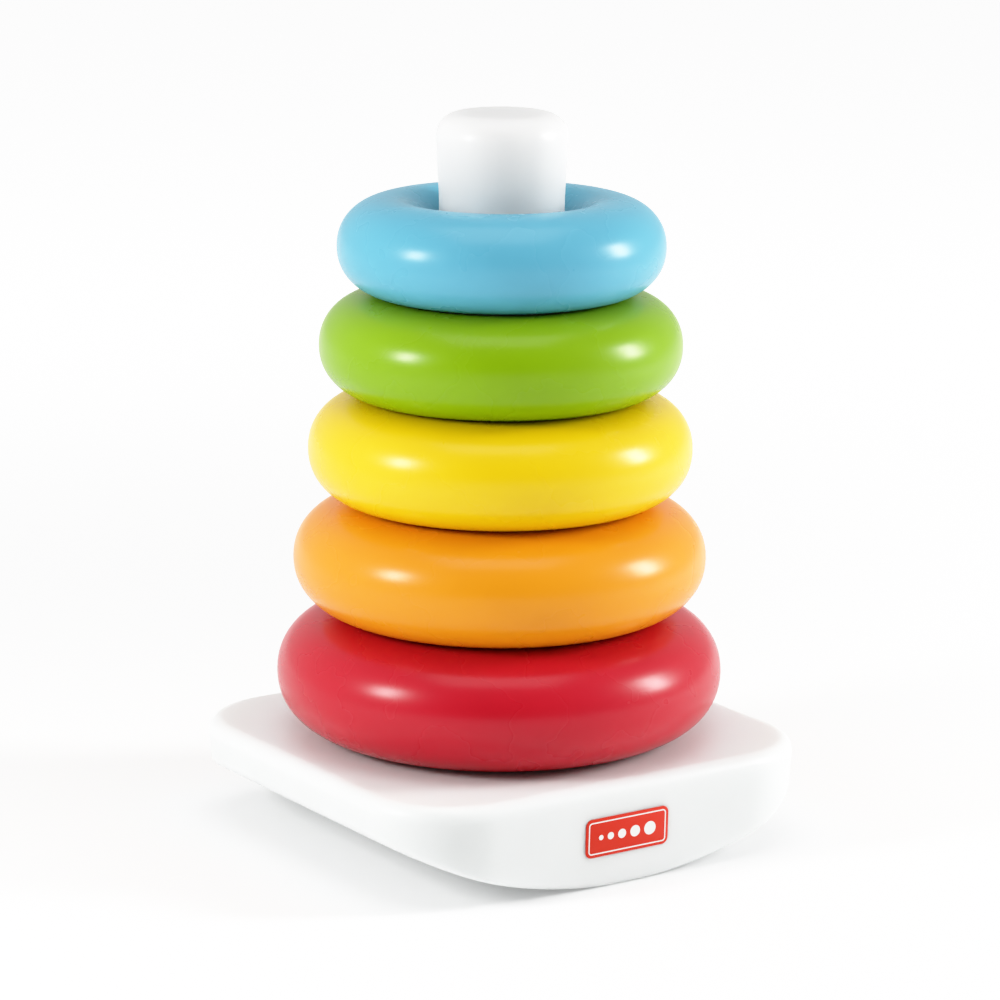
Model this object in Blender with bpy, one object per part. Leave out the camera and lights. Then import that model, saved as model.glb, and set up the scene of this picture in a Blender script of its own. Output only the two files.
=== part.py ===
"""Stacking ring toy: a rocker base with a post, and five hollow rings that lift off it.

Units are metres and +Z is up. The origin is the middle of the flat foot under the base, the
post and the rings share the Z axis, the base rocks along X, and its label faces -Y.
"""

import math

import bmesh
import bpy

MM = 0.001
GAP = 0.3 * MM  # clearance between pieces that touch

# Rocker base: a rounded square with a flat deck and a curved underside, moulded hollow
BASE_LENGTH = 139.6 * MM  # along X
BASE_DEPTH = 132.4 * MM  # along Y
BASE_CORNER = 26.7 * MM  # corner radius in plan
BASE_TAPER = 0.6 * MM  # how far the sides draw in from the deck to the underside
BASE_WALL = 2.0 * MM
DECK_Z = 29.8 * MM
DECK_EDGE = 4.0 * MM  # rounding between the deck and the sides
ROCKER_EDGE = 1.9 * MM  # rounding between the sides and the underside
ROCKER_RADIUS = 141.6 * MM
FOOT_WIDTH = 12.0 * MM  # flat strip under the middle of the rocker, along X

# Post: a hollow taper with a rounded knob, which snaps into a round hole in the deck
POST_TOP = 208.1 * MM
POST_WALL = 2.0 * MM
KNOB_RADIUS = 18.6 * MM
KNOB_ROUND = 6.4 * MM
WAIST_RADIUS = 17.7 * MM  # narrowest place, just below the knob
WAIST_Z = 181.0 * MM
SHOULDER_RADIUS = 27.5 * MM  # foot of the taper, resting on the deck
SPIGOT_RADIUS = 22.0 * MM  # plug below the shoulder
SPIGOT_LENGTH = 12.0 * MM
SNAP_BEAD = 0.9 * MM  # how far the bead under the deck stands out of the spigot

# Rings, from the deck up: outside and hole diameters, the diameter of the highest circle of
# the section (its crest), and the section's height
RINGS = (
    ("red_ring", 128.0 * MM, 57.0 * MM, 88.6 * MM, 34.2 * MM, (0.52, 0.016, 0.030)),
    ("orange_ring", 118.4 * MM, 52.4 * MM, 79.2 * MM, 32.5 * MM, (0.83, 0.27, 0.022)),
    ("yellow_ring", 109.8 * MM, 48.0 * MM, 76.2 * MM, 30.3 * MM, (0.86, 0.60, 0.010)),
    ("green_ring", 103.4 * MM, 44.2 * MM, 71.2 * MM, 28.9 * MM, (0.22, 0.42, 0.012)),
    ("blue_ring", 93.2 * MM, 40.0 * MM, 62.0 * MM, 27.5 * MM, (0.12, 0.46, 0.64)),
)
RING_WALL = 1.6 * MM
RING_SQUARENESS = 2.13  # superellipse exponent of the section; 2 would be an ellipse
VENT_RADIUS = 1.5 * MM  # blowing hole through the inner wall, facing the post

# Label: a thin plate on the front of the base
LABEL_WIDTH = 28.0 * MM
LABEL_HEIGHT = 11.2 * MM
LABEL_CORNER = 2.0 * MM
LABEL_THICKNESS = 0.4 * MM
LABEL_X = -1.3 * MM
LABEL_Z = 15.1 * MM

WHITE = (0.84, 0.85, 0.85)
LABEL_RED = (0.64, 0.045, 0.018)

# Facets
CORNER_STEPS = 6  # plan corners of the base, and of the label
EDGE_STEPS = 3
ROCKER_STEPS = 3  # on each side of the foot, before the corners
SHARP_ANGLE = math.radians(35.0)
POST_STEPS = 32
KNOB_STEPS = 5
RING_STEPS = 40
RING_SECTION_STEPS = 16
CAVITY_STEPS = 20
CAVITY_SECTION_STEPS = 8
VENT_STEPS = 12
PITCH_SAMPLES = 400  # places tried when one ring is set down on another


def clear_scene():
    for thing in list(bpy.data.objects):
        bpy.data.objects.remove(thing, do_unlink=True)


def plastic(name, color, roughness):
    """A moulded plastic material."""
    material = bpy.data.materials.new(name)
    material.use_nodes = True
    shader = material.node_tree.nodes["Principled BSDF"]
    shader.inputs["Base Color"].default_value = (*color, 1.0)
    shader.inputs["Roughness"].default_value = roughness
    shader.inputs["Metallic"].default_value = 0.0
    material.diffuse_color = (*color, 1.0)
    return material


def add_object(name, build, material=None):
    """A new object whose mesh is filled in by build(bm)."""
    mesh = bpy.data.meshes.new(name)
    bm = bmesh.new()
    build(bm)
    bm.to_mesh(mesh)
    bm.free()
    if material:
        mesh.materials.append(material)
    thing = bpy.data.objects.new(name, mesh)
    bpy.context.collection.objects.link(thing)
    return thing


def add_turned(name, profile, steps, closed, material=None):
    """A profile of (radius, z) points turned around Z, its outer side running downwards."""

    def build(bm):
        verts = [bm.verts.new((radius, 0.0, z)) for radius, z in profile]
        for start, end in zip(verts, verts[1:]):
            bm.edges.new((start, end))
        if closed:
            bm.edges.new((verts[-1], verts[0]))

    thing = add_object(name, build, material)
    screw = thing.modifiers.new("Turn", "SCREW")
    screw.steps = screw.render_steps = steps
    screw.use_merge_vertices = True
    screw.merge_threshold = 0.01 * MM
    screw.use_smooth_shade = True
    return thing


def cut(thing, cutter):
    """Take the cutter away from the thing, and keep the cutter as a hidden guide."""
    cutter.hide_render = True
    cutter.display_type = "WIRE"
    boolean = thing.modifiers.new("Cut " + cutter.name, "BOOLEAN")
    boolean.operation = "DIFFERENCE"
    boolean.solver = "EXACT"
    boolean.object = cutter


def add_drill(name, radius, length, steps, location, tilt=0.0):
    """A round cutter centred on a place, upright or tilted about X."""

    def build(bm):
        bmesh.ops.create_cone(bm, cap_ends=True, segments=steps, radius1=radius,
                              radius2=radius, depth=length)

    drill = add_object(name, build)
    drill.location = location
    drill.rotation_euler = (tilt, 0.0, 0.0)
    return drill


# Rocker base


def underside(x):
    """Height of the rocker's surface at x: flat under the foot, then an arc on each side."""
    reach = max(abs(x), FOOT_WIDTH / 2)
    foot_sagitta = math.sqrt(ROCKER_RADIUS**2 - (FOOT_WIDTH / 2) ** 2)
    return foot_sagitta - math.sqrt(ROCKER_RADIUS**2 - reach**2)


def outline(inset):
    """The base in plan, set in from its edge: along the front to +X, then back behind."""
    radius = BASE_CORNER - inset
    center_x = BASE_LENGTH / 2 - BASE_CORNER
    center_y = BASE_CORNER - BASE_DEPTH / 2
    foot_half = FOOT_WIDTH / 2
    step = (center_x - foot_half) / ROCKER_STEPS
    right = [(foot_half + step * i, center_y - radius) for i in range(ROCKER_STEPS)]
    for i in range(CORNER_STEPS + 1):
        angle = math.radians(90.0 * i / CORNER_STEPS)
        right.append((center_x + radius * math.sin(angle), center_y - radius * math.cos(angle)))
    front = [(-x, y) for x, y in reversed(right)] + right
    return front + [(x, -y) for x, y in reversed(front)]


def quarter_round(radius):
    """Steps of a rounded edge, from its flat face to its side: (set in, along the side)."""
    if radius == 0.0:
        return [(0.0, 0.0)]
    angles = [math.radians(90.0 * i / EDGE_STEPS) for i in range(EDGE_STEPS + 1)]
    return [(radius * (1 - math.sin(a)), radius * (1 - math.cos(a))) for a in angles]


def rocker_block(wall, deck_edge, rocker_edge):
    """Returns a builder of the base's shape, one wall inside its skin."""

    def build(bm):
        loops = []
        for inset, drop in quarter_round(deck_edge):
            plan = outline(wall + inset)
            loops.append([(x, y, DECK_Z - wall - drop) for x, y in plan])
        for inset, lift in reversed(quarter_round(rocker_edge)):
            plan = outline(wall + BASE_TAPER + inset)
            loops.append([(x, y, underside(x) + wall + lift) for x, y in plan])
        rows = [[bm.verts.new(point) for point in loop] for loop in loops]
        count = len(rows[0])
        for upper, lower in zip(rows, rows[1:]):
            for i in range(count):
                j = (i + 1) % count
                bm.faces.new((upper[i], lower[i], lower[j], upper[j]))
        bm.faces.new(rows[0])
        last = rows[-1]
        for i in range(count // 2 - 1):
            bm.faces.new((last[i + 1], last[i], last[count - 1 - i], last[count - 2 - i]))

    return build


def add_base(material):
    """The hollow base, with the post's socket cut through its deck."""
    base = add_object("rocker_base", rocker_block(0.0, DECK_EDGE, ROCKER_EDGE), material)
    base.data.shade_smooth()
    base.data.set_sharp_from_angle(angle=SHARP_ANGLE)
    cut(base, add_object("base_cavity", rocker_block(BASE_WALL, 0.0, 0.0)))
    socket = (0.0, 0.0, DECK_Z - BASE_WALL / 2)
    cut(base, add_drill("socket_drill", SPIGOT_RADIUS + GAP, 4 * BASE_WALL, POST_STEPS, socket))


# Post


def post_profile():
    """The post's outer side from the top of the knob down, then its inside back up."""
    shoulder_z = DECK_Z + GAP
    bead_top = DECK_Z - BASE_WALL - GAP
    spigot_end = shoulder_z - SPIGOT_LENGTH
    knob_z = POST_TOP - KNOB_ROUND
    neck = ((3 * WAIST_RADIUS + KNOB_RADIUS) / 4, (WAIST_Z + knob_z) / 2)

    outside = [(0.0, POST_TOP)]
    for i in range(KNOB_STEPS + 1):
        angle = math.radians(90.0 * i / KNOB_STEPS)
        outside.append((KNOB_RADIUS - KNOB_ROUND * (1 - math.sin(angle)),
                        POST_TOP - KNOB_ROUND * (1 - math.cos(angle))))
    outside += [
        neck,
        (WAIST_RADIUS, WAIST_Z),
        (SHOULDER_RADIUS, shoulder_z),
        (SPIGOT_RADIUS, shoulder_z),
        (SPIGOT_RADIUS, bead_top),
        (SPIGOT_RADIUS + SNAP_BEAD, bead_top - SNAP_BEAD),
        (SPIGOT_RADIUS, bead_top - 3 * SNAP_BEAD),
        (SPIGOT_RADIUS - SNAP_BEAD, spigot_end),
    ]
    inside = [
        (SPIGOT_RADIUS - SNAP_BEAD - POST_WALL, spigot_end),
        (SPIGOT_RADIUS - POST_WALL, shoulder_z + POST_WALL),
        (SHOULDER_RADIUS - POST_WALL, shoulder_z + POST_WALL),
        (WAIST_RADIUS - POST_WALL, WAIST_Z),
        (KNOB_RADIUS - POST_WALL, knob_z),
        (KNOB_RADIUS - KNOB_ROUND, POST_TOP - POST_WALL),
        (0.0, POST_TOP - POST_WALL),
    ]
    return outside + inside


def add_post(material):
    add_turned("center_post", post_profile(), POST_STEPS, False, material)


# Rings


def ring_section(outer, hole, crest, height, wall, steps):
    """Half-round outside and flatter inside, as (radius, z) points down the outer side."""
    points = []
    for i in range(steps):
        angle = math.radians(-360.0 * i / steps)
        across, up = math.cos(angle), math.sin(angle)
        reach = (outer - crest) / 2 if across > 0 else (crest - hole) / 2
        across = math.copysign(abs(across) ** (2 / RING_SQUARENESS), across)
        up = math.copysign(abs(up) ** (2 / RING_SQUARENESS), up)
        points.append((crest / 2 + (reach - wall) * across, (height / 2 - wall) * up))
    return points


def half_thickness(ring, radius):
    """Half the height of a ring's section at a distance from the Z axis, 0 outside it."""
    _, outer, hole, crest, height, _ = ring
    reach = (outer - crest) / 2 if radius > crest / 2 else (crest - hole) / 2
    across = min(abs(radius - crest / 2) / reach, 1.0)
    return height / 2 * (1 - across**RING_SQUARENESS) ** (1 / RING_SQUARENESS)


def nesting_pitch(lower, upper):
    """Height between two rings' centres when one rests on the other, with the gap."""
    inner, outer = lower[2] / 2, upper[1] / 2
    step = (outer - inner) / PITCH_SAMPLES
    places = [inner + step * i for i in range(PITCH_SAMPLES)]
    return GAP + max(half_thickness(lower, r) + half_thickness(upper, r) for r in places)


def add_ring(ring, z, material):
    """A hollow ring around the Z axis, its centre at z."""
    name, outer, hole, crest, height, _ = ring
    section = ring_section(outer, hole, crest, height, 0.0, RING_SECTION_STEPS)
    thing = add_turned(name, section, RING_STEPS, True, material)
    hollow = ring_section(outer, hole, crest, height, RING_WALL, CAVITY_SECTION_STEPS)
    cavity = add_turned(name + "_cavity", hollow, CAVITY_STEPS, True)
    thing.location = cavity.location = (0.0, 0.0, z)
    cut(thing, cavity)
    vent = (0.0, (hole + RING_WALL) / 2, z)
    cut(thing, add_drill(name + "_vent", VENT_RADIUS, 3 * RING_WALL, VENT_STEPS, vent,
                         tilt=math.radians(90.0)))


def add_rings():
    """The stack from the deck up, each ring resting on the one below."""
    z = DECK_Z + GAP + RINGS[0][4] / 2
    for i, ring in enumerate(RINGS):
        if i:
            z += nesting_pitch(RINGS[i - 1], ring)
        add_ring(ring, z, plastic(ring[0] + "_plastic", ring[5], 0.42))


# Label


def add_label(material):
    """A thin plate with round corners, parallel to the front of the base."""
    lean = math.atan2(BASE_TAPER, DECK_Z)
    face_y = -BASE_DEPTH / 2 + (DECK_Z - LABEL_Z) * math.tan(lean)

    def build(bm):
        verts = []
        for corner in range(4):
            side_x = 1 if corner in (0, 3) else -1
            side_z = 1 if corner in (0, 1) else -1
            for i in range(CORNER_STEPS + 1):
                angle = math.radians(90.0 * (corner + i / CORNER_STEPS))
                x = side_x * (LABEL_WIDTH / 2 - LABEL_CORNER) + LABEL_CORNER * math.cos(angle)
                z = side_z * (LABEL_HEIGHT / 2 - LABEL_CORNER) + LABEL_CORNER * math.sin(angle)
                verts.append(bm.verts.new((x, 0.0, z)))
        back = bm.faces.new(verts)
        front = bmesh.ops.extrude_face_region(bm, geom=[back])["geom"]
        moved = [item for item in front if isinstance(item, bmesh.types.BMVert)]
        bmesh.ops.translate(bm, vec=(0.0, -LABEL_THICKNESS, 0.0), verts=moved)
        bmesh.ops.recalc_face_normals(bm, faces=bm.faces)

    label = add_object("front_label", build, material)
    label.location = (LABEL_X, face_y - GAP, LABEL_Z)
    label.rotation_euler = (lean, 0.0, 0.0)


clear_scene()
add_base(plastic("base_plastic", WHITE, 0.40))
add_post(plastic("post_plastic", WHITE, 0.40))
add_rings()
add_label(plastic("label_print", LABEL_RED, 0.35))
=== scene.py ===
"""Looks of the stacking ring toy: smooth moulded rings, post, rocker base and printed label.

Every piece is built to the size and place of the CAD node that it stands for. Units are metres,
+Z is up, and the label faces -Y.
"""

import math

import bmesh
import bpy
from mathutils import Matrix, Vector


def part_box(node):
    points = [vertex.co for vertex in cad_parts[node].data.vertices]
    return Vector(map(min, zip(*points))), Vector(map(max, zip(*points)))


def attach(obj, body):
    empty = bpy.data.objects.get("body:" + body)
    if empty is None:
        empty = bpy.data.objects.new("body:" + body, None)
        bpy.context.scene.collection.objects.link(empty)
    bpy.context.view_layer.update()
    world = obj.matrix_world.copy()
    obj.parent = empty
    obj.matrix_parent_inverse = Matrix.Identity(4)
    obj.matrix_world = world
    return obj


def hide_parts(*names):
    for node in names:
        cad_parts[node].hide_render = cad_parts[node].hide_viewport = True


MM = 0.001
UP = Vector((0.0, 0.0, 1.0))
WHITE = (1.0, 1.0, 1.0, 1.0)
ARC_SHARE = 0.3  # of a small rounded edge's radius: how far in its one middle point lies

# Rings: (CAD node, body, material slot, colour)
RINGS = (
    ("red_ring", "red", "red_plastic", (0.455, 0.0095, 0.022)),
    ("orange_ring", "orange", "orange_plastic", (0.75, 0.26, 0.009)),
    ("yellow_ring", "yellow", "yellow_plastic", (0.76, 0.495, 0.004)),
    ("green_ring", "green", "green_plastic", (0.195, 0.355, 0.0015)),
    ("blue_ring", "blue", "blue_plastic", (0.095, 0.355, 0.495)),
)
RING_SQUARENESS = 2.13  # superellipse exponent of the section
CREST_REACH = 0.01 * MM  # points this close to the top of a CAD ring make up its crest
RING_STEPS = 192
RING_SECTION_STEPS = 72
VENT_RADIUS = 1.5 * MM
VENT_DEPTH = 5.0 * MM  # deeper than the moulding's wall
VENT_STEPS = 40

# Post
KNOB_RADIUS = 18.6 * MM
KNOB_ROUND = 6.4 * MM
WAIST_RADIUS = 17.7 * MM
WAIST_Z = 181.0 * MM
SHOULDER_ROUND = 0.8 * MM
TAPER_POWER = 1.12  # above 1, so that the taper leaves the waist without a kink
POST_STEPS = 128
KNOB_STEPS = 16
NECK_STEPS = 12
TAPER_STEPS = 24

# Base
BASE_CORNER = 26.7 * MM
BASE_TAPER = 0.6 * MM
DECK_EDGE = 4.0 * MM
ROCKER_EDGE = 1.9 * MM
ROCKER_RADIUS = 141.6 * MM
FOOT_WIDTH = 12.0 * MM
CORNER_STEPS = 28
EDGE_STEPS = 10
ROCKER_STEPS = 12
HOLD = 0.25 * MM  # flat strip kept beside each rounded edge, so that the shading stays flat
SHARP_ANGLE = math.radians(40.0)

# Label: a printed plate with a white line around it and a row of five growing dots
LABEL_WIDTH = 28.0 * MM
LABEL_HEIGHT = 11.2 * MM
LABEL_CORNER = 2.0 * MM
LABEL_X = -1.3 * MM
LABEL_Z = 15.1 * MM
LABEL_PROUD = 0.30 * MM
LABEL_EDGE = 0.12 * MM
PRINT_PROUD = 0.02 * MM
KEYLINE_INSET = 0.9 * MM
KEYLINE_WIDTH = 0.35 * MM
DOT_RADII = tuple(r * MM for r in (0.75, 1.05, 1.35, 1.65, 1.95))
DOT_GAP = 1.45 * MM
LABEL_STEPS = 12
DOT_STEPS = 40

# Plastics: colour, roughness, index of refraction, and how far light scatters inside
RING_FINISH = (0.275, 1.37, 0.0)
POST_PLASTIC = ((0.64, 0.635, 0.63), 0.35, 1.4, 20.0 * MM)
BASE_PLASTIC = ((0.725, 0.745, 0.74), 0.35, 1.4, 6.0 * MM)
LABEL_PLASTIC = ((0.60, 0.024, 0.008), 0.33, 1.345, 0.0)
PRINT_PLASTIC = ((0.78, 0.78, 0.76), 0.35, 1.345, 0.0)
SCATTER_RADIUS = (1.0, 1.0, 1.0)  # light of each colour scatters equally far
CLOUD_SCALE = 45.0  # soft unevenness of colour and gloss
CLOUD_DETAIL = 3.0
CLOUD_TINT = 0.035
CLOUD_GLOSS = 0.03
GRAIN_SCALE = 2600.0  # fine even grain of the mould
GRAIN_DETAIL = 2.0
GRAIN_STRENGTH = 0.12
GRAIN_HEIGHT = 0.02 * MM

# Camera
CAMERA_AZIMUTH = math.radians(-34.0)
CAMERA_DISTANCE = 1.1409
CAMERA_HEIGHT = 0.3628
CAMERA_PITCH = math.radians(13.134)
CAMERA_ROLL = math.radians(0.367)
CAMERA_LENS = 147.3

# Lights: (name, azimuth to the right of the camera, elevation, distance, width, height, watts)
LIGHT_TARGET_Z = 0.11
SOFTBOXES = (
    ("left_softbox", -60.5, 21.0, 0.55, 0.10, 0.14, 1.95),
    ("right_softbox", 90.0, 19.0, 0.80, 0.16, 0.30, 5.7),
    ("top_softbox", 0.0, 85.0, 1.20, 1.00, 1.00, 6.2),
)
# Studio light from the camera's side, from behind, left, right and above
STUDIO_STRENGTHS = (0.10, 0.66, 1.12, 0.85, 0.58)
COMBINED_CURVE = 3  # the tone curve that all three colours share
SHOULDER_START = 0.55  # where the brightest tones start to roll off to white
SHOULDER_STEPS = 6
STRAIGHT_SHARES = (0.5, 1.0)  # points that keep the curve straight up to the shoulder
TOE = ((0.02, 0.012), (0.06, 0.051), (0.15, 0.148))  # darkest tones: (light, light shown)
FLOOR_RADIUS = 8.0
FLOOR_STEPS = 64
FLOOR_COLOR = (0.8, 0.8, 0.8, 1.0)
FLOOR_ROUGHNESS = 0.9
FLOOR_GLOW = 0.14  # near the toy
BACKDROP_GLOW = 0.68  # far from it
GLOW_START = 0.15  # the glow changes between these distances from the toy's middle
GLOW_END = 0.90


def new_piece(name, build, material):
    """A smooth-shaded mesh object, filled in by build(bm)."""
    mesh = bpy.data.meshes.new(name)
    bm = bmesh.new()
    build(bm)
    bm.to_mesh(mesh)
    bm.free()
    mesh.materials.append(material)
    mesh.shade_smooth()
    piece = bpy.data.objects.new(name, mesh)
    bpy.context.collection.objects.link(piece)
    return piece


def turned(profile, steps, closed):
    """Returns a builder that turns (radius, z) points, outer side downwards, around Z."""

    def build(bm):
        rows = []
        for radius, z in profile:
            if radius == 0.0:
                rows.append([bm.verts.new((0.0, 0.0, z))])
                continue
            angles = [2 * math.pi * i / steps for i in range(steps)]
            rows.append([bm.verts.new((radius * math.cos(a), radius * math.sin(a), z))
                         for a in angles])
        following = rows[1:] + rows[:1] if closed else rows[1:]
        for upper, lower in zip(rows, following):
            for i in range(steps):
                j = (i + 1) % steps
                corners = [upper[i % len(upper)], lower[i % len(lower)],
                           lower[j % len(lower)], upper[j % len(upper)]]
                face = list(dict.fromkeys(corners))
                if len(face) > 2:
                    bm.faces.new(face)

    return build


# Materials


def satin_plastic(name, color, roughness, ior, scatter):
    """Moulded plastic: a fine even grain, faint cloudiness and slightly uneven gloss."""
    material = bpy.data.materials.new(name)
    material.use_nodes = True
    tree = material.node_tree
    nodes, links = tree.nodes, tree.links
    shader = nodes["Principled BSDF"]
    coordinates = nodes.new("ShaderNodeTexCoord")

    def noise(scale, detail):
        node = nodes.new("ShaderNodeTexNoise")
        node.inputs["Scale"].default_value = scale
        node.inputs["Detail"].default_value = detail
        links.new(coordinates.outputs["Object"], node.inputs["Vector"])
        return node.outputs["Fac"]

    cloud = noise(CLOUD_SCALE, CLOUD_DETAIL)
    grain = noise(GRAIN_SCALE, GRAIN_DETAIL)

    tint = nodes.new("ShaderNodeMix")
    tint.data_type = "RGBA"
    tint.inputs["A"].default_value = (*[c * (1 - CLOUD_TINT) for c in color], 1.0)
    tint.inputs["B"].default_value = (*[c * (1 + CLOUD_TINT) for c in color], 1.0)
    links.new(cloud, tint.inputs["Factor"])
    links.new(tint.outputs["Result"], shader.inputs["Base Color"])

    gloss = nodes.new("ShaderNodeMapRange")
    gloss.inputs["To Min"].default_value = roughness - CLOUD_GLOSS
    gloss.inputs["To Max"].default_value = roughness + CLOUD_GLOSS
    links.new(cloud, gloss.inputs["Value"])
    links.new(gloss.outputs["Result"], shader.inputs["Roughness"])

    bump = nodes.new("ShaderNodeBump")
    bump.inputs["Strength"].default_value = GRAIN_STRENGTH
    bump.inputs["Distance"].default_value = GRAIN_HEIGHT
    links.new(grain, bump.inputs["Height"])
    links.new(bump.outputs["Normal"], shader.inputs["Normal"])
    shader.inputs["IOR"].default_value = ior
    if scatter:
        shader.inputs["Subsurface Weight"].default_value = 1.0
        shader.inputs["Subsurface Radius"].default_value = SCATTER_RADIUS
        shader.inputs["Subsurface Scale"].default_value = scatter
    return material


# Rings


def ring_sizes(node):
    """Outer, hole and crest radius, half height and centre height of a ring's CAD node."""
    low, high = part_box(node)
    points = [v.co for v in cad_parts[node].data.vertices]
    hole = min(math.hypot(p.x, p.y) for p in points)
    top = [p for p in points if p.z > high.z - CREST_REACH]
    crest = sum(math.hypot(p.x, p.y) for p in top) / len(top)
    return high.x, hole, crest, (high.z - low.z) / 2, (high.z + low.z) / 2


def ring_section(sizes):
    """The ring's section, half-round outside and flatter inside, down the outer side."""
    outer, hole, crest, half_height, center = sizes
    points = []
    for i in range(RING_SECTION_STEPS):
        angle = -2 * math.pi * i / RING_SECTION_STEPS
        across, up = math.cos(angle), math.sin(angle)
        reach = outer - crest if across > 0 else crest - hole
        across = math.copysign(abs(across) ** (2 / RING_SQUARENESS), across)
        up = math.copysign(abs(up) ** (2 / RING_SQUARENESS), up)
        points.append((crest + reach * across, center + half_height * up))
    return points


def drill_vent(piece, hole, center):
    """The small round hole of the blow moulding, in the ring's inner wall on the +Y side. The
    drill is turned half a step, so that its corners miss the points of the ring."""

    def build(bm):
        place = (Matrix.Translation((0.0, hole, center)) @ Matrix.Rotation(math.radians(90.0), 4, "X")
                 @ Matrix.Rotation(math.pi / VENT_STEPS, 4, "Z"))
        bmesh.ops.create_cone(bm, cap_ends=True, segments=VENT_STEPS, radius1=VENT_RADIUS,
                              radius2=VENT_RADIUS, depth=2 * VENT_DEPTH, matrix=place)

    drill = new_piece("drill", build, piece.data.materials[0])
    cut = piece.modifiers.new("Vent", "BOOLEAN")
    cut.operation = "DIFFERENCE"
    cut.object = drill
    drilled = bpy.data.meshes.new_from_object(
        piece.evaluated_get(bpy.context.evaluated_depsgraph_get()))
    piece.modifiers.clear()
    piece.data = drilled
    bpy.data.objects.remove(drill)
    piece.data.shade_smooth()
    piece.data.set_sharp_from_angle(angle=SHARP_ANGLE)


def add_ring(node, body, slot, color):
    sizes = ring_sizes(node)
    piece = new_piece(node + "_moulding", turned(ring_section(sizes), RING_STEPS, True),
                      satin_plastic(slot, color, *RING_FINISH))
    drill_vent(piece, sizes[1], sizes[4])
    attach(piece, body)
    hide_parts(node)


# Post


def post_profile():
    """The post's outside from the top of the knob down, as (radius, z) points."""
    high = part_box("center_post")[1]
    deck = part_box("rocker_base")[1].z
    points = [(0.0, high.z)]
    for i in range(KNOB_STEPS + 1):
        angle = math.radians(90.0 * i / KNOB_STEPS)
        points.append((KNOB_RADIUS - KNOB_ROUND * (1 - math.sin(angle)),
                       high.z - KNOB_ROUND * (1 - math.cos(angle))))
    knob_z = high.z - KNOB_ROUND
    for i in range(1, NECK_STEPS):
        share = i / NECK_STEPS
        ease = share * share * (3 - 2 * share)  # starts and ends level
        points.append((KNOB_RADIUS + (WAIST_RADIUS - KNOB_RADIUS) * ease,
                       knob_z + (WAIST_Z - knob_z) * share))
    round_z = deck + SHOULDER_ROUND
    for i in range(TAPER_STEPS + 1):
        share = i / TAPER_STEPS
        points.append((WAIST_RADIUS + (high.x - WAIST_RADIUS) * share**TAPER_POWER,
                       WAIST_Z + (round_z - WAIST_Z) * share))
    cut = ARC_SHARE * SHOULDER_ROUND
    points.append((high.x - cut, deck + cut))
    points.append((high.x - SHOULDER_ROUND, deck))
    points.append((0.0, deck))
    return points


def add_post(material):
    piece = new_piece("post_moulding", turned(post_profile(), POST_STEPS, False), material)
    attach(piece, "base")
    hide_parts("center_post")


# Base


def underside(x):
    """Height of the rocker's surface at x: flat under the foot, then an arc on each side."""
    reach = max(abs(x), FOOT_WIDTH / 2)
    foot_sagitta = math.sqrt(ROCKER_RADIUS**2 - (FOOT_WIDTH / 2) ** 2)
    return foot_sagitta - math.sqrt(ROCKER_RADIUS**2 - reach**2)


def outline(inset, half_x, half_y):
    """The base in plan, set in from its edge: along the front to +X, then back behind."""
    radius = BASE_CORNER - inset
    center_x = half_x - BASE_CORNER
    center_y = BASE_CORNER - half_y
    foot_half = FOOT_WIDTH / 2
    step = (center_x - foot_half) / ROCKER_STEPS
    right = [(foot_half + step * i, center_y - radius) for i in range(ROCKER_STEPS)]
    for i in range(CORNER_STEPS + 1):
        angle = math.radians(90.0 * i / CORNER_STEPS)
        right.append((center_x + radius * math.sin(angle), center_y - radius * math.cos(angle)))
    front = [(-x, y) for x, y in reversed(right)] + right
    return front + [(x, -y) for x, y in reversed(front)]


def quarter_round(radius):
    """Steps of a rounded edge, from its flat face to its side: (set in, along the side)."""
    angles = [math.radians(90.0 * i / EDGE_STEPS) for i in range(EDGE_STEPS + 1)]
    arc = [(radius * (1 - math.sin(a)), radius * (1 - math.cos(a))) for a in angles]
    return [(radius + HOLD, 0.0)] + arc + [(0.0, radius + HOLD)]


def build_base(bm):
    """Rows of points from the deck's rounded edge down to the rocker's, closed at both ends."""
    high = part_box("rocker_base")[1]
    half_x, half_y = high.x, high.y
    loops = []
    for inset, drop in quarter_round(DECK_EDGE):
        loops.append([(x, y, high.z - drop) for x, y in outline(inset, half_x, half_y)])
    for inset, lift in reversed(quarter_round(ROCKER_EDGE)):
        plan = outline(BASE_TAPER + inset, half_x, half_y)
        loops.append([(x, y, underside(x) + lift) for x, y in plan])
    rows = [[bm.verts.new(point) for point in loop] for loop in loops]
    count = len(rows[0])
    for upper, lower in zip(rows, rows[1:]):
        for i in range(count):
            j = (i + 1) % count
            bm.faces.new((upper[i], lower[i], lower[j], upper[j]))
    bm.faces.new(rows[0])
    last = rows[-1]
    for i in range(count // 2 - 1):
        bm.faces.new((last[i + 1], last[i], last[count - 1 - i], last[count - 2 - i]))


def add_base(material):
    piece = new_piece("base_moulding", build_base, material)
    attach(piece, "base")
    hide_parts("rocker_base")


# Label


def rounded_rectangle(inset):
    """A rounded rectangle in the label's plane, set in from its edge, as (x, z) points."""
    radius = LABEL_CORNER - inset
    points = []
    for corner in range(4):
        side_x = 1 if corner in (0, 3) else -1
        side_z = 1 if corner in (0, 1) else -1
        for i in range(LABEL_STEPS + 1):
            angle = math.radians(90.0 * (corner + i / LABEL_STEPS))
            points.append((side_x * (LABEL_WIDTH / 2 - LABEL_CORNER) + radius * math.cos(angle),
                           side_z * (LABEL_HEIGHT / 2 - LABEL_CORNER) + radius * math.sin(angle)))
    return points


def circle(center_x, radius):
    """A circle in the label's plane, as (x, z) points."""
    angles = [2 * math.pi * i / DOT_STEPS for i in range(DOT_STEPS)]
    return [(center_x + radius * math.cos(a), radius * math.sin(a)) for a in angles]


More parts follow.
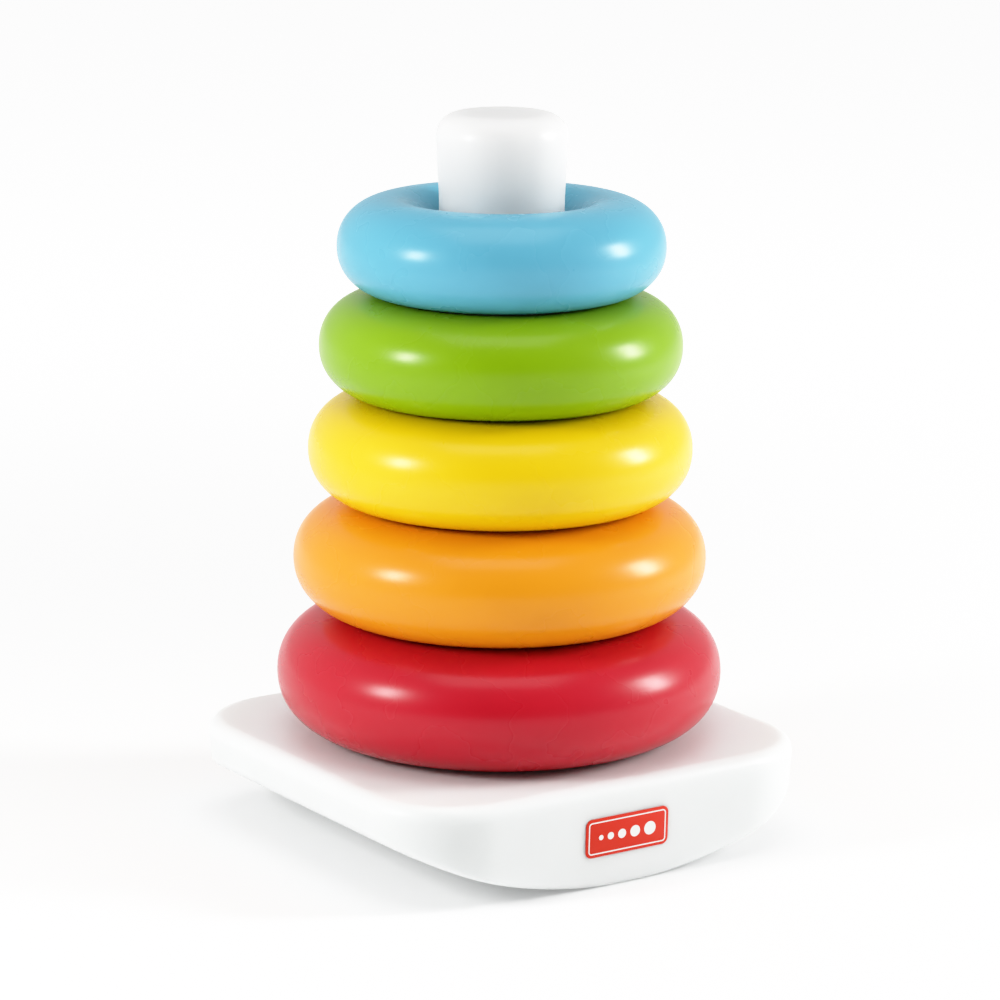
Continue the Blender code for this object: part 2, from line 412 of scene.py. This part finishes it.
def loft(bm, loops, proud, capped):
    """A closed solid through loops that stand proud of the face by the heights given. It has a
    cap at its back and front, or else its last loop joins up with its first."""
    rows = [[bm.verts.new((x, -height, z)) for x, z in loop] for loop, height in zip(loops, proud)]
    count = len(rows[0])
    following = rows[1:] if capped else rows[1:] + rows[:1]
    for outer, inner in zip(rows, following):
        for i in range(count):
            j = (i + 1) % count
            bm.faces.new((outer[i], outer[j], inner[j], inner[i]))
    if capped:
        bm.faces.new(list(reversed(rows[0])))
        bm.faces.new(rows[-1])


def build_label(bm):
    cut = ARC_SHARE * LABEL_EDGE
    loops = [rounded_rectangle(inset) for inset in (0.0, 0.0, cut, LABEL_EDGE)]
    heights = (-LABEL_EDGE, LABEL_PROUD - LABEL_EDGE, LABEL_PROUD - cut, LABEL_PROUD)
    loft(bm, loops, heights, True)


def build_print(bm):
    line = [rounded_rectangle(inset) for inset in (KEYLINE_INSET, KEYLINE_INSET + KEYLINE_WIDTH)]
    under, top = LABEL_PROUD - PRINT_PROUD, LABEL_PROUD + PRINT_PROUD
    loft(bm, [line[0], line[0], line[1], line[1]], (under, top, top, under), False)
    width = 2 * sum(DOT_RADII) + DOT_GAP * (len(DOT_RADII) - 1)
    place = -width / 2
    for radius in DOT_RADII:
        dot = circle(place + radius, radius)
        loft(bm, [dot, dot], (under, top), True)
        place += 2 * radius + DOT_GAP


def add_label():
    """The label, laid on the front of the base, which leans back towards its foot."""
    low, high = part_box("rocker_base")
    side_top = high.z - DECK_EDGE - HOLD
    lean = math.atan2(BASE_TAPER, side_top - ROCKER_EDGE - HOLD)
    face_y = low.y + (side_top - LABEL_Z) * math.tan(lean)
    place = Matrix.Translation((LABEL_X, face_y, LABEL_Z)) @ Matrix.Rotation(lean, 4, "X")
    plate = new_piece("label_plate", build_label, satin_plastic("label_print", *LABEL_PLASTIC))
    marks = new_piece("label_marks", build_print, satin_plastic("label_white", *PRINT_PLASTIC))
    for piece in (plate, marks):
        piece.data.transform(place)
        piece.data.set_sharp_from_angle(angle=SHARP_ANGLE)
        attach(piece, "base")
        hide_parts("front_label")


# Camera, floor and light


def camera_sides():
    """Level directions from the toy: towards the camera, and to the camera's right."""
    back = Vector((math.sin(CAMERA_AZIMUTH), -math.cos(CAMERA_AZIMUTH), 0.0))
    right = Vector((math.cos(CAMERA_AZIMUTH), math.sin(CAMERA_AZIMUTH), 0.0))
    return back, right


def add_camera():
    back, right = camera_sides()
    view_back = back * math.cos(CAMERA_PITCH) + UP * math.sin(CAMERA_PITCH)
    view_up = UP * math.cos(CAMERA_PITCH) - back * math.sin(CAMERA_PITCH)
    side = right * math.cos(CAMERA_ROLL) + view_up * math.sin(CAMERA_ROLL)
    top = view_up * math.cos(CAMERA_ROLL) - right * math.sin(CAMERA_ROLL)
    place = back * CAMERA_DISTANCE + UP * CAMERA_HEIGHT
    camera = bpy.data.objects.new("camera", bpy.data.cameras.new("camera"))
    bpy.context.collection.objects.link(camera)
    camera.data.lens = CAMERA_LENS
    camera.matrix_world = Matrix((
        (side.x, top.x, view_back.x, place.x),
        (side.y, top.y, view_back.y, place.y),
        (side.z, top.z, view_back.z, place.z),
        (0.0, 0.0, 0.0, 1.0),
    ))
    bpy.context.scene.camera = camera


def add_light(name, azimuth, elevation, distance, width, height, power):
    """A softbox facing the middle of the toy. Azimuth is to the right of the camera."""
    back, right = camera_sides()
    a, e = math.radians(azimuth), math.radians(elevation)
    out = (back * math.cos(a) + right * math.sin(a)) * math.cos(e) + UP * math.sin(e)
    data = bpy.data.lights.new(name, "AREA")
    data.shape = "RECTANGLE"
    data.size, data.size_y = width, height
    data.energy = power
    light = bpy.data.objects.new(name, data)
    bpy.context.collection.objects.link(light)
    light.location = UP * LIGHT_TARGET_Z + out * distance
    light.rotation_mode = "QUATERNION"
    light.rotation_quaternion = out.to_track_quat("Z", "Y")


def add_floor():
    """A wide pale floor. Its faint glow keeps it white up to the toy, as on a lit table."""

    def build(bm):
        bmesh.ops.create_circle(bm, cap_ends=True, segments=FLOOR_STEPS, radius=FLOOR_RADIUS)

    material = bpy.data.materials.new("floor")
    material.use_nodes = True
    nodes, links = material.node_tree.nodes, material.node_tree.links
    shader = nodes["Principled BSDF"]
    shader.inputs["Base Color"].default_value = FLOOR_COLOR
    shader.inputs["Roughness"].default_value = FLOOR_ROUGHNESS
    shader.inputs["Emission Color"].default_value = WHITE
    coordinates = nodes.new("ShaderNodeTexCoord")
    reach = nodes.new("ShaderNodeVectorMath")
    reach.operation = "LENGTH"
    glow = nodes.new("ShaderNodeMapRange")
    glow.interpolation_type = "SMOOTHSTEP"
    for socket, value in (("From Min", GLOW_START), ("From Max", GLOW_END),
                          ("To Min", FLOOR_GLOW), ("To Max", BACKDROP_GLOW)):
        glow.inputs[socket].default_value = value
    links.new(coordinates.outputs["Object"], reach.inputs[0])
    links.new(reach.outputs["Value"], glow.inputs["Value"])
    links.new(glow.outputs["Result"], shader.inputs["Emission Strength"])
    floor = new_piece("floor", build, material)


def add_world():
    """Soft light from all around, brightest on the left and dimmest from the camera's side."""
    world = bpy.data.worlds.new("studio")
    world.use_nodes = True
    nodes, links = world.node_tree.nodes, world.node_tree.links
    direction = nodes.new("ShaderNodeTexCoord").outputs["Generated"]

    def math_node(operation, first, second, third=0.0):
        node = nodes.new("ShaderNodeMath")
        node.operation = operation
        for socket, value in zip(node.inputs, (first, second, third)):
            if isinstance(value, float):
                socket.default_value = value
            else:
                links.new(value, socket)
        return node.outputs["Value"]

    back, right = camera_sides()
    total = 0.0
    for side, strength in zip((back, -back, -right, right, UP), STUDIO_STRENGTHS):
        facing = nodes.new("ShaderNodeVectorMath")
        facing.operation = "DOT_PRODUCT"
        facing.inputs[1].default_value = side
        links.new(direction, facing.inputs[0])
        lit = math_node("MAXIMUM", facing.outputs["Value"], 0.0)
        squared = math_node("MULTIPLY", lit, lit)
        total = math_node("MULTIPLY_ADD", squared, strength, total)
    links.new(total, nodes["Background"].inputs["Strength"])
    nodes["Background"].inputs["Color"].default_value = WHITE
    bpy.context.scene.world = world


def set_tones():
    """Rolls the brightest tones off to white and deepens the darkest, as a studio photograph
    does. The curve's own white lies as far above 1.0 as the shoulder starts below it."""
    view = bpy.context.scene.view_settings
    view.view_transform = "Standard"
    view.use_curve_mapping = True
    curve = view.curve_mapping
    reach = 2 * (1.0 - SHOULDER_START)
    white = SHOULDER_START + reach
    curve.white_level = (white, white, white)
    tones = curve.curves[COMBINED_CURVE].points
    for light, shown in TOE:
        tones.new(light / white, shown)
    for share in STRAIGHT_SHARES:
        tones.new(share * SHOULDER_START / white, share * SHOULDER_START)
    for i in range(1, SHOULDER_STEPS):
        light = SHOULDER_START + reach * i / SHOULDER_STEPS
        tones.new(light / white, light - (light - SHOULDER_START) ** 2 / (2 * reach))
    curve.update()


def set_stage():
    add_camera()
    add_floor()
    add_world()
    for softbox in SOFTBOXES:
        add_light(*softbox)
    set_tones()


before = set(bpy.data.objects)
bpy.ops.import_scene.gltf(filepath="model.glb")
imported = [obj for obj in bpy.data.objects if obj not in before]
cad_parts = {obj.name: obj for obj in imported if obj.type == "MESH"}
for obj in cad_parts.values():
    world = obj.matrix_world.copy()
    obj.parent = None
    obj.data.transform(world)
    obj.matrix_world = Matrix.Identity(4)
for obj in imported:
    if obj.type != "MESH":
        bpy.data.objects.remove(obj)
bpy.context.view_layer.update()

for ring in RINGS:
    add_ring(*ring)
add_post(satin_plastic("post_plastic", *POST_PLASTIC))
add_base(satin_plastic("base_plastic", *BASE_PLASTIC))
add_label()
set_stage()
